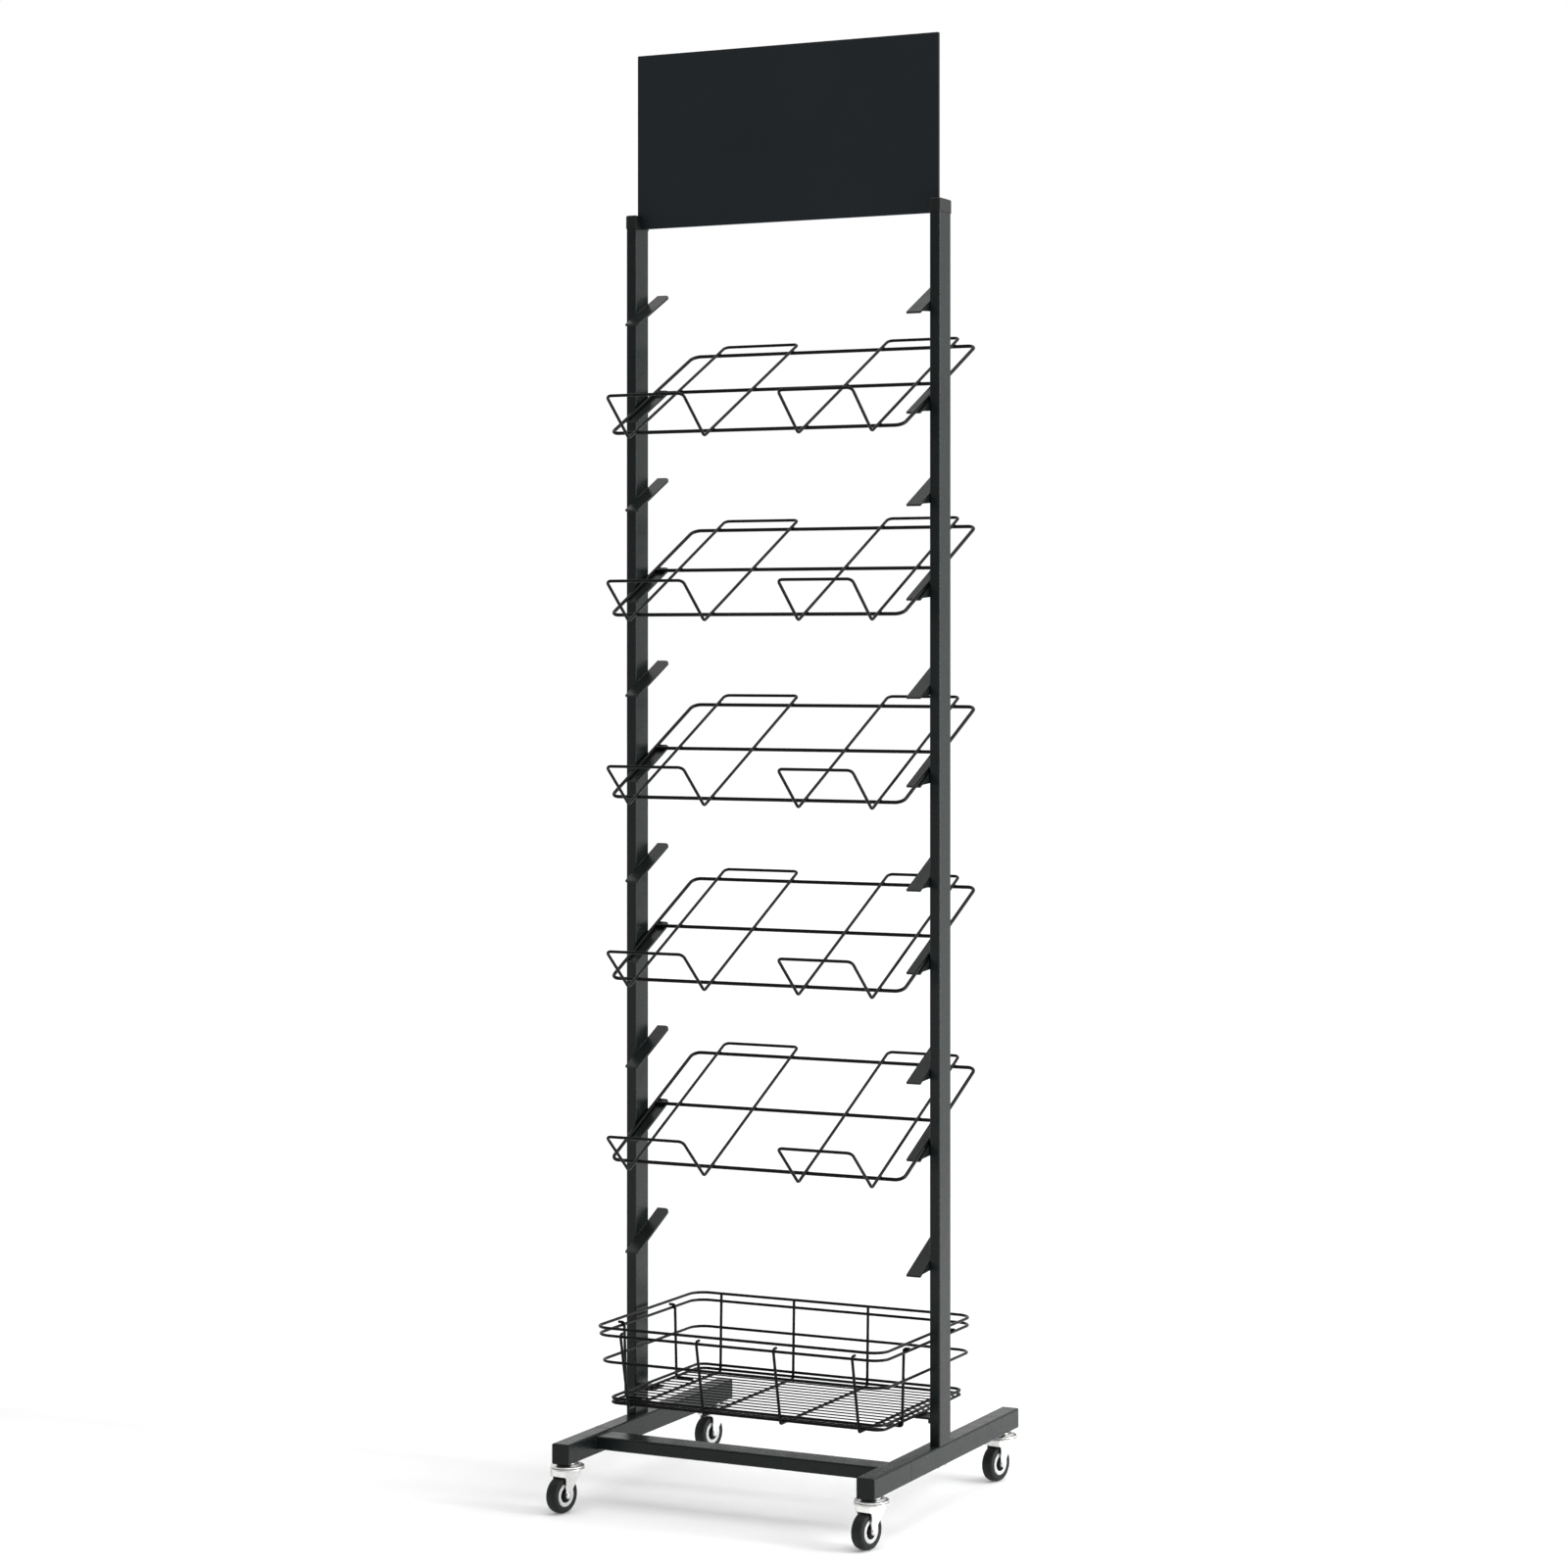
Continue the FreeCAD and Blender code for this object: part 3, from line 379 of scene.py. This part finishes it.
def rounded(corners, closed=False, steps=5):
    """The points of an outline whose corners (a, b, radius) are replaced by tangent arcs."""
    points = []
    count = len(corners)
    for index, (a, b, radius) in enumerate(corners):
        here = Vector((a, b))
        at_end = not closed and index in (0, count - 1)
        if at_end or radius <= 0:
            points.append(here)
            continue
        before = Vector(corners[index - 1][:2]) - here
        after = Vector(corners[(index + 1) % count][:2]) - here
        half = before.angle(after) / 2
        reach = min(radius / math.tan(half), 0.49 * before.length, 0.49 * after.length)
        radius = reach * math.tan(half)
        middle = (before.normalized() + after.normalized()).normalized()
        centre = here + middle * (radius / math.sin(half))
        start = here + before.normalized() * reach - centre
        end = here + after.normalized() * reach - centre
        for step in range(steps + 1):
            part = step / steps
            turn = start.lerp(end, part).normalized() * radius
            points.append(centre + turn)
    return points


def lathe(shape, outline, axis="Z", segments=64, closed=False):
    """Turns an outline of (radius, height) points about Z or X."""
    rings = []
    for radius, height in outline:
        if radius < SAME_PLACE:
            spots = [Vector((0, 0, height))]
        else:
            spots = [Vector((radius * math.cos(2 * math.pi * step / segments),
                             radius * math.sin(2 * math.pi * step / segments), height))
                     for step in range(segments)]
        if axis == "X":
            spots = [Vector((spot.z, spot.x, spot.y)) for spot in spots]
        rings.append([shape.verts.new(spot) for spot in spots])
    pairs = list(zip(rings, rings[1:]))
    if closed:
        pairs.append((rings[-1], rings[0]))
    for low, high in pairs:
        for step in range(segments):
            following = (step + 1) % segments
            corners = [low[step % len(low)], low[following % len(low)],
                       high[following % len(high)], high[step % len(high)]]
            distinct = list(dict.fromkeys(corners))
            if len(distinct) > 2:
                shape.faces.new(distinct)
    bmesh.ops.recalc_face_normals(shape, faces=shape.faces)


def plate(shape, outline, low, high):
    """Extrudes an outline of (y, z) points along X from low to high, and returns the faces."""
    near = [shape.verts.new((low, point[0], point[1])) for point in outline]
    far = [shape.verts.new((high, point[0], point[1])) for point in outline]
    faces = [shape.faces.new(near), shape.faces.new(far[::-1])]
    for step in range(len(outline)):
        following = (step + 1) % len(outline)
        faces.append(shape.faces.new((near[step], far[step], far[following], near[following])))
    bmesh.ops.recalc_face_normals(shape, faces=faces)
    return faces


def bridge(shape, rings):
    """Joins each closed ring of vertices to the next one, and returns the faces."""
    faces = []
    for low, high in zip(rings, rings[1:]):
        for step in range(len(low)):
            following = (step + 1) % len(low)
            faces.append(shape.faces.new((low[step], low[following],
                                          high[following], high[step])))
    return faces


def curved_wall(shape, inner, outer, low, high):
    """A wall between two open plan outlines of (x, y) points."""
    loops = [[shape.verts.new((point[0], point[1], height)) for point in line]
             for line in (inner, outer) for height in (low, high)]
    inner_low, inner_high, outer_low, outer_high = loops
    faces = []
    for one, two in ((inner_low, inner_high), (inner_high, outer_high),
                     (outer_high, outer_low), (outer_low, inner_low)):
        for step in range(len(inner) - 1):
            faces.append(shape.faces.new((one[step], one[step + 1], two[step + 1], two[step])))
    for end in (0, -1):
        around = (inner_low, inner_high, outer_high, outer_low)
        faces.append(shape.faces.new([loop[end] for loop in around]))
    bmesh.ops.recalc_face_normals(shape, faces=faces)


def islands(node):
    """The boxes of a CAD node's separate solids."""
    mesh = nodes[node].data
    shape = bmesh.new()
    shape.from_mesh(mesh)
    bmesh.ops.remove_doubles(shape, verts=shape.verts, dist=SAME_PLACE)
    boxes, seen = [], set()
    for first in shape.verts:
        if first in seen:
            continue
        seen.add(first)
        todo, group = [first], []
        while todo:
            vertex = todo.pop()
            group.append(vertex.co.copy())
            for edge in vertex.link_edges:
                other = edge.other_vert(vertex)
                if other not in seen:
                    seen.add(other)
                    todo.append(other)
        boxes.append((Vector([min(co[axis] for co in group) for axis in range(3)]),
                      Vector([max(co[axis] for co in group) for axis in range(3)])))
    shape.free()
    return boxes


# ---------------------------------------------------------------- casters

def scaled(points):
    """An outline given in millimetres, in metres."""
    return [tuple(value * MM for value in point) for point in points]


def mirrored(outline):
    """The other half of an outline that has been drawn for positive heights."""
    return [(radius, -height, bend) for radius, height, bend in outline[::-1]]


def caster_stem():
    """King pin, upper race with its rolled edge and its balls, washer and threaded stem."""
    shape = bmesh.new()
    outline = rounded(scaled([
        (0, 54.9, 0), (5.5, 55.0, 1.0), (7.9, 56.2, 0.6), (7.9, 57.0, 0.2), (4.9, 57.0, 0.1),
        (4.9, 60.3, 0.1), (20.4, 60.3, 0.3), (21.2, 61.0, 0.4), (22.6, 61.0, 0.5),
        (23.6, 62.0, 0.8), (22.6, 63.3, 0.7), (19.0, 63.3, 1.0), (15.5, 65.4, 2.0),
        (12.0, 65.7, 0.3), (12.0, 66.5, 0.2), (4.0, 66.5, 0.1), (4.0, 85.6, 0.3),
        (3.0, 86.6, 0.2), (0, 86.6, 0)]))
    lathe(shape, outline)
    balls, track, height = 14, 18.0 * MM, 60.1 * MM
    for ball in range(balls):
        angle = 2 * math.pi * ball / balls
        made = bmesh.ops.create_icosphere(shape, subdivisions=2, radius=1.0 * MM)
        bmesh.ops.translate(shape, verts=made["verts"],
                            vec=(track * math.cos(angle), track * math.sin(angle), height))
    return mesh_piece("caster_stem", shape)


def caster_fork():
    """One pressed shell: a rolled crown, a hood over the tyre and two tapered horns."""
    shape = bmesh.new()
    crown = rounded(scaled([
        (5.2, 57.5, 0.1), (18.5, 57.5, 2.0), (22.8, 57.9, 0.8), (23.9, 58.9, 0.9),
        (23.2, 60.3, 0.7), (21.8, 60.2, 0.4), (18.5, 59.7, 1.0), (5.2, 59.7, 0.1)]), closed=True)
    lathe(shape, crown, closed=True)
    horn = rounded(scaled([
        (-21.6, 58.6, 0), (-21.8, 50.4, 1.2), (-17.4, 49.4, 1.6), (-16.4, 45.0, 2.0),
        (-16.2, 20.4, 4.0), (-7.8, 20.4, 4.0), (-3.0, 33.0, 18.0), (8.5, 45.0, 8.0),
        (13.4, 50.5, 3.0), (14.6, 58.6, 0)]), closed=True)
    horn_inside, hood_inside, outside = 10.7, 10.8, 12.6
    hood_top = 58.4 * MM
    turns = [math.radians(turn) for turn in range(-90, 91, 10)]
    for side in (-1, 1):
        plate(shape, horn, side * horn_inside * MM, side * outside * MM)
    for ahead, length, swell, low in ((-1, 21.7, 2.6, 50.2), (1, 14.5, 1.8, 52.4)):
        lines = []
        for half_width in (hood_inside, outside):
            straight = length - (outside - half_width) - swell
            lines.append([(math.sin(turn) * half_width * MM,
                           ahead * (straight + swell * math.cos(turn)) * MM)
                          for turn in turns])
        curved_wall(shape, lines[0], lines[1], low * MM, hood_top)
    made = mesh_piece("caster_fork", shape, 40.0)
    soften(made, 0.35 * MM)
    return made


def caster_axle():
    """A rivet with domed heads, one of them spun over."""
    shape = bmesh.new()
    head = [(4.7, 12.5, 0.1), (4.7, 13.0, 0.3), (3.6, 14.1, 1.2), (1.7, 14.6, 0.8)]
    shank = [(2.9, -12.5, 0.1), (2.9, 12.5, 0.1)]
    outline = [(0, -14.3, 0)] + mirrored(head) + shank + head + [(0, 14.0, 0)]
    lathe(shape, rounded(scaled(outline)), axis="X", segments=40)
    return mesh_piece("caster_axle", shape)


def caster_hub():
    """A grey wheel centre: a rounded face ring, a deep recess with ribs and a boss."""
    shape = bmesh.new()
    half = [(16.0, 7.4, 0.5), (14.9, 8.5, 0.8), (11.2, 8.6, 0.6), (10.2, 7.9, 0.5),
            (9.8, 4.4, 0.8), (6.4, 5.0, 0.8), (5.9, 10.1, 0.6), (3.1, 10.1, 0.1)]
    outline = rounded(scaled(mirrored(half) + half), closed=True)
    lathe(shape, outline, axis="X", closed=True)
    grey, black = 0, 1                         # the two material slots; the near-black one is painted shade in the recess
    core_radius = 10.1 * MM
    for face in shape.faces:
        centre = face.calc_center_median()
        inside = math.hypot(centre.y, centre.z) < core_radius
        face.material_index = black if inside else grey
    rib = scaled([(-0.5, 6.0), (0.5, 6.0), (0.5, 10.2), (-0.5, 10.2)])
    for side in (-1, 1):
        for angle in range(0, 360, 60):
            turn = Matrix.Rotation(math.radians(angle), 3, "X")
            corners = [(turn @ Vector((0.0, y, z))).yz for y, z in rib]
            for face in plate(shape, corners, side * 4.2 * MM, side * 6.6 * MM):
                face.material_index = black
    return mesh_piece("caster_hub", shape)


def caster_tyre():
    """A rubber ring with round shoulders, a shallow step round the hub and a mould line."""
    shape = bmesh.new()
    half = [(15.9, 7.2, 0.2), (16.2, 8.2, 0.4), (17.0, 8.9, 0.5), (19.0, 9.0, 1.5),
            (23.6, 8.2, 4.0), (24.85, 3.0, 5.0), (24.9, 0.35, 0.1), (25.0, 0.12, 0.05)]
    lathe(shape, rounded(scaled(half + mirrored(half)), closed=True, steps=7), axis="X",
          segments=96, closed=True)
    return mesh_piece("caster_tyre", shape)


def add_casters():
    """Every caster from the same five patterns, turned and placed by its joints."""
    kinds = {                                  # pattern, body, slot, drawn round the axle
        "stem": (caster_stem(), "root", "bright_zinc", False),
        "fork": (caster_fork(), "{}_swivel", "bright_zinc", False),
        "axle": (caster_axle(), "{}_swivel", "axle_steel", True),
        "hub": (caster_hub(), "{}_wheel", "hub_plastic", True),
        "tyre": (caster_tyre(), "{}_wheel", "tyre_rubber", True),
    }
    for kind, (pattern, body, slot, on_axle) in kinds.items():
        joint = "_wheel_spin" if on_axle else "_swivel_turn"
        for corner in CORNERS:
            made = pattern.copy()
            made.data = pattern.data.copy()
            made.data.transform(Matrix.Rotation(parked_turn(corner), 4, "Z"))
            made.name = "%s_%s_look" % (corner, kind)
            scene.collection.objects.link(made)
            x, y, _ = joints[corner + joint]["pos_m"]
            made.location = (x, y, WHEEL_R if on_axle else 0.0)
            dress(made, body.format(corner), slot, "%s_caster_%s" % (corner, kind))
            if kind == "hub":
                # the hub's recess gets its near-black painted shade
                made.data.materials.append(hub_recess_painted_shade)
        bpy.data.objects.remove(pattern)


# ---------------------------------------------------------------- welds and screws

def bead(shape, start, end, radius):
    """A run of weld with ripples, thinner at both ends."""
    pitch, sides = 1.9 * MM, 10
    start, end = Vector(start), Vector(end)
    along = (end - start).normalized()
    across = along.orthogonal().normalized()
    upward = along.cross(across)
    turns = [2 * math.pi * side / sides for side in range(sides)]
    steps = max(8, int((end - start).length / pitch * 4))
    rings = []
    for step in range(steps + 1):
        part = step / steps
        centre = start.lerp(end, part)
        wobble = noise.noise(centre * 900.0)
        size = radius * (0.86 + 0.16 * math.sin(part * steps * math.pi / 2) + 0.18 * wobble)
        size *= min(1.0, 0.25 + 6.0 * min(part, 1 - part))
        rings.append([shape.verts.new(centre + size * (across * math.cos(turn)
                                                       + upward * math.sin(turn)))
                      for turn in turns])
    faces = [shape.faces.new(rings[0]), shape.faces.new(rings[-1][::-1])]
    faces += bridge(shape, rings)
    bmesh.ops.recalc_face_normals(shape, faces=faces)


def nugget(shape, centre, first, second, radius):
    """The squeezed metal where two crossing wires are spot welded."""
    wide, thick = 1.35, 0.8                    # times the radius
    made = bmesh.ops.create_icosphere(shape, subdivisions=2, radius=1.0)
    first, second = Vector(first).normalized(), Vector(second).normalized()
    third = first.cross(second).normalized()
    for vertex in made["verts"]:
        local = vertex.co
        swell = 1.0 + 0.16 * noise.noise((local + Vector(centre) * 300.0) * 1.7)
        vertex.co = Vector(centre) + radius * swell * (
            first * local.x * wide + second * local.y * wide + third * local.z * thick)


def weld_piece(name, shape, body, slot):
    """Finishes a piece of weld, whose ripples are shaded smooth."""
    dress(mesh_piece(name, shape, sharp=60.0), body, slot)


def across_post(side):
    """The x of a post's inner face, and where a weld across it starts and ends in y."""
    low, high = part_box(side + "_post")
    inset = 3 * MM
    face = high.x if side == "left" else low.x
    return face, low.y + inset, high.y - inset


def ledge_welds():
    """A bead over and under each ledge, where it meets its post."""
    for side in SIDES:
        shape = bmesh.new()
        face, front, back = across_post(side)
        for start, end in islands(side + "_ledges"):
            rear_top = start.y + LEDGE_LENGTH * math.cos(SLOPE_ANGLE)
            for drop in (0.0, LEDGE_THICK / math.cos(SLOPE_ANGLE)):
                ends = [(face, y, end.z - SLOPE * (rear_top - y) - drop) for y in (front, back)]
                bead(shape, ends[0], ends[1], 1.4 * MM)
        weld_piece(side + "_ledge_welds", shape, "root", "powder_coat")


def cross_rail_welds():
    """Beads round both ends of the cross rail."""
    shape = bmesh.new()
    low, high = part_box("cross_rail")
    radius, inset = 1.5 * MM, 2 * MM
    for face in (low.x, high.x):
        for z in (low.z, high.z):
            bead(shape, (face, low.y + inset, z), (face, high.y - inset, z), radius)
        for y in (low.y, high.y):
            bead(shape, (face, y, low.z + inset), (face, y, high.z - inset), radius)
    weld_piece("cross_rail_welds", shape, "root", "powder_coat")


def rest_welds():
    """Beads where the basket's rests meet the posts."""
    shape = bmesh.new()
    sink = 0.2 * MM
    for side in SIDES:
        low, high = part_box(side + "_basket_rest")
        face, front, back = across_post(side)
        for z in (low.z - sink, high.z - sink):
            bead(shape, (face, front, z), (face, back, z), 1.0 * MM)
    weld_piece("basket_rest_welds", shape, "root", "powder_coat")


def rack_welds(number):
    """Nuggets where the pockets' wires lie across the rack's front, middle and rear wires."""
    shape = bmesh.new()
    low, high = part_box("rack_%d_frame" % number)
    front_y, front_z = low.y + RACK_WIRE_R, low.z + RACK_WIRE_R
    along = Vector((0, math.cos(SLOPE_ANGLE), math.sin(SLOPE_ANGLE)))
    normal = Vector((0, -math.sin(SLOPE_ANGLE), math.cos(SLOPE_ANGLE)))
    length = (high.y - low.y - 2 * RACK_WIRE_R) / math.cos(SLOPE_ANGLE)
    for side in SIDES:
        pocket_low, pocket_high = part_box("rack_%d_%s_pocket" % (number, side))
        for x in (pocket_low.x + POCKET_WIRE_R, pocket_high.x - POCKET_WIRE_R):
            for reach in (0.0, RACK_MIDDLE, length):
                centre = Vector((x, front_y, front_z)) + along * reach + normal * RACK_WIRE_R
                nugget(shape, centre, (1, 0, 0), along, 1.9 * MM)
    weld_piece("rack_%d_welds" % number, shape, "rack_%d" % number, "rack_wire")


def basket_welds():
    """Nuggets where the basket's wires cross, and where its floor wires meet the tray."""
    shape = bmesh.new()
    radius, floor_radius = 1.7 * MM, 1.5 * MM
    thin = 3 * BASKET_WIRE_R                   # a bent wire is thinner across its plane
    across, along, up = (1, 0, 0), (0, 1, 0), (0, 0, 1)
    uprights = islands("basket_uprights")
    columns = sorted({round((low.x + high.x) / 2, 5) for low, high in uprights
                      if high.x - low.x < thin})
    rows = sorted({round((low.y + high.y) / 2, 5) for low, high in uprights
                   if high.y - low.y < thin})
    hook_top = max(high.z for low, high in uprights if high.y - low.y < thin)
    for node, edge in (("basket_rims", 2 * BASKET_WIRE_R), ("basket_floor_frame", 0.0)):
        for low, high in islands(node):
            height = (low.z + high.z) / 2
            hooked = height < hook_top         # the top rim meets only the back uprights
            for x in columns:
                for y in (low.y, high.y - edge) if hooked else (high.y - edge,):
                    nugget(shape, (x, y, height), across, up, radius)
            for y in rows if hooked else ():
                for x in (low.x + edge, high.x - edge):
                    nugget(shape, (x, y, height), along, up, radius)
    overlap = 0.5 * MM
    for low, high in islands("basket_floor_wires"):
        y, z = (low.y + high.y) / 2, (low.z + high.z) / 2
        for x in (low.x - overlap, high.x + overlap):
            nugget(shape, (x, y, z), across, along, floor_radius)
    weld_piece("basket_welds", shape, "basket", "basket_wire")


def rail_seams():
    """A painted shadow line where each foot rail's front stub meets its rear tube."""
    corner, proud = 2.5 * MM, 0.06 * MM
    for side in SIDES:
        shape = bmesh.new()
        low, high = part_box(side + "_foot_rail")
        half_width = (high.x - low.x) / 2 + proud
        half_height = (high.z - low.z) / 2 + proud
        outline = rounded([(right * half_width, top * half_height, corner)
                           for right, top in ((-1, -1), (1, -1), (1, 1), (-1, 1))], closed=True)
        centre = Vector(((low.x + high.x) / 2, low.y, (low.z + high.z) / 2))
        rings = []
        for reach, inset in ((-0.35, 0.3), (-0.3, 0.0), (0.3, 0.0), (0.35, 0.3)):
            wide = 1 - inset * MM / half_width
            tall = 1 - inset * MM / half_height
            rings.append([shape.verts.new(centre + Vector((point.x * wide, reach * MM,
                                                           point.y * tall)))
                          for point in outline])
        bridge(shape, rings)
        bmesh.ops.recalc_face_normals(shape, faces=shape.faces)
        seam = dress(mesh_piece(side + "_rail_seam", shape), "root", "powder_coat")
        seam.material_slots[0].material = seam_shadow


def hexagon(shape, radius, height):
    """The six corners of a hexagon round Z."""
    turns = [math.radians(60 * corner) for corner in range(6)]
    return [shape.verts.new((radius * math.cos(turn), radius * math.sin(turn), height))
            for turn in turns]


def screw_heads():
    """Button heads with a hexagon socket, on their shanks."""
    shape = bmesh.new()
    for low, high in islands("base_screws"):
        before = len(shape.verts)
        bottom, top = low.z, high.z
        outline = [(2.4 * MM, bottom + 1.5 * MM, 0),
                   (2.5 * MM, bottom + 0.1 * MM, 0.2 * MM),
                   (3.2 * MM, bottom, 0.3 * MM),
                   (4.6 * MM, bottom + 1.3 * MM, 1.2 * MM),
                   (4.6 * MM, bottom + 2.4 * MM, 0.1 * MM),
                   (2.4 * MM, bottom + 2.4 * MM, 0.1 * MM),
                   (2.4 * MM, top - 0.8 * MM, 0.3 * MM),
                   (1.6 * MM, top, 0.2 * MM),
                   (0, top, 0)]
        lathe(shape, rounded(outline), segments=36)
        rim = hexagon(shape, 1.5 * MM, bottom + 0.3 * MM)
        pit = hexagon(shape, 1.5 * MM, bottom + 1.5 * MM)
        collar = hexagon(shape, 2.5 * MM, bottom + 0.15 * MM)
        shape.faces.new(pit)
        bridge(shape, [collar, rim, pit])
        bmesh.ops.translate(shape, verts=list(shape.verts)[before:],
                            vec=((low.x + high.x) / 2, (low.y + high.y) / 2, 0.0))
    bmesh.ops.recalc_face_normals(shape, faces=shape.faces)
    dress(mesh_piece("base_screw_looks", shape), "root", "screw_steel", "base_screws")


# ---------------------------------------------------------------- the whole stand

add_camera()
add_world()
add_floor()
area_light("right_softbox", place=(2.6, 1.3, 1.5), target=(0.1, 0.0, 0.9),
           width=1.6, height=2.6, power=62.0)
area_light("top_softbox", place=(0.5, -0.4, 4.0), target=(0.0, 0.0, 0.8),
           width=2.6, height=2.6, power=52.0)
area_light("strip_softbox", place=(3.2, 0.1, 1.2), target=(0.0, 0.0, 1.0),
           width=0.22, height=2.6, power=70.0)

for part in record["subparts"]:
    for surface in nodes[part["node"]].material_slots:
        surface.material = finishes[part["material_slot"]]

add_casters()
ledge_welds()
cross_rail_welds()
rest_welds()
for rack in RACKS:
    rack_welds(rack)
basket_welds()
rail_seams()
screw_heads()
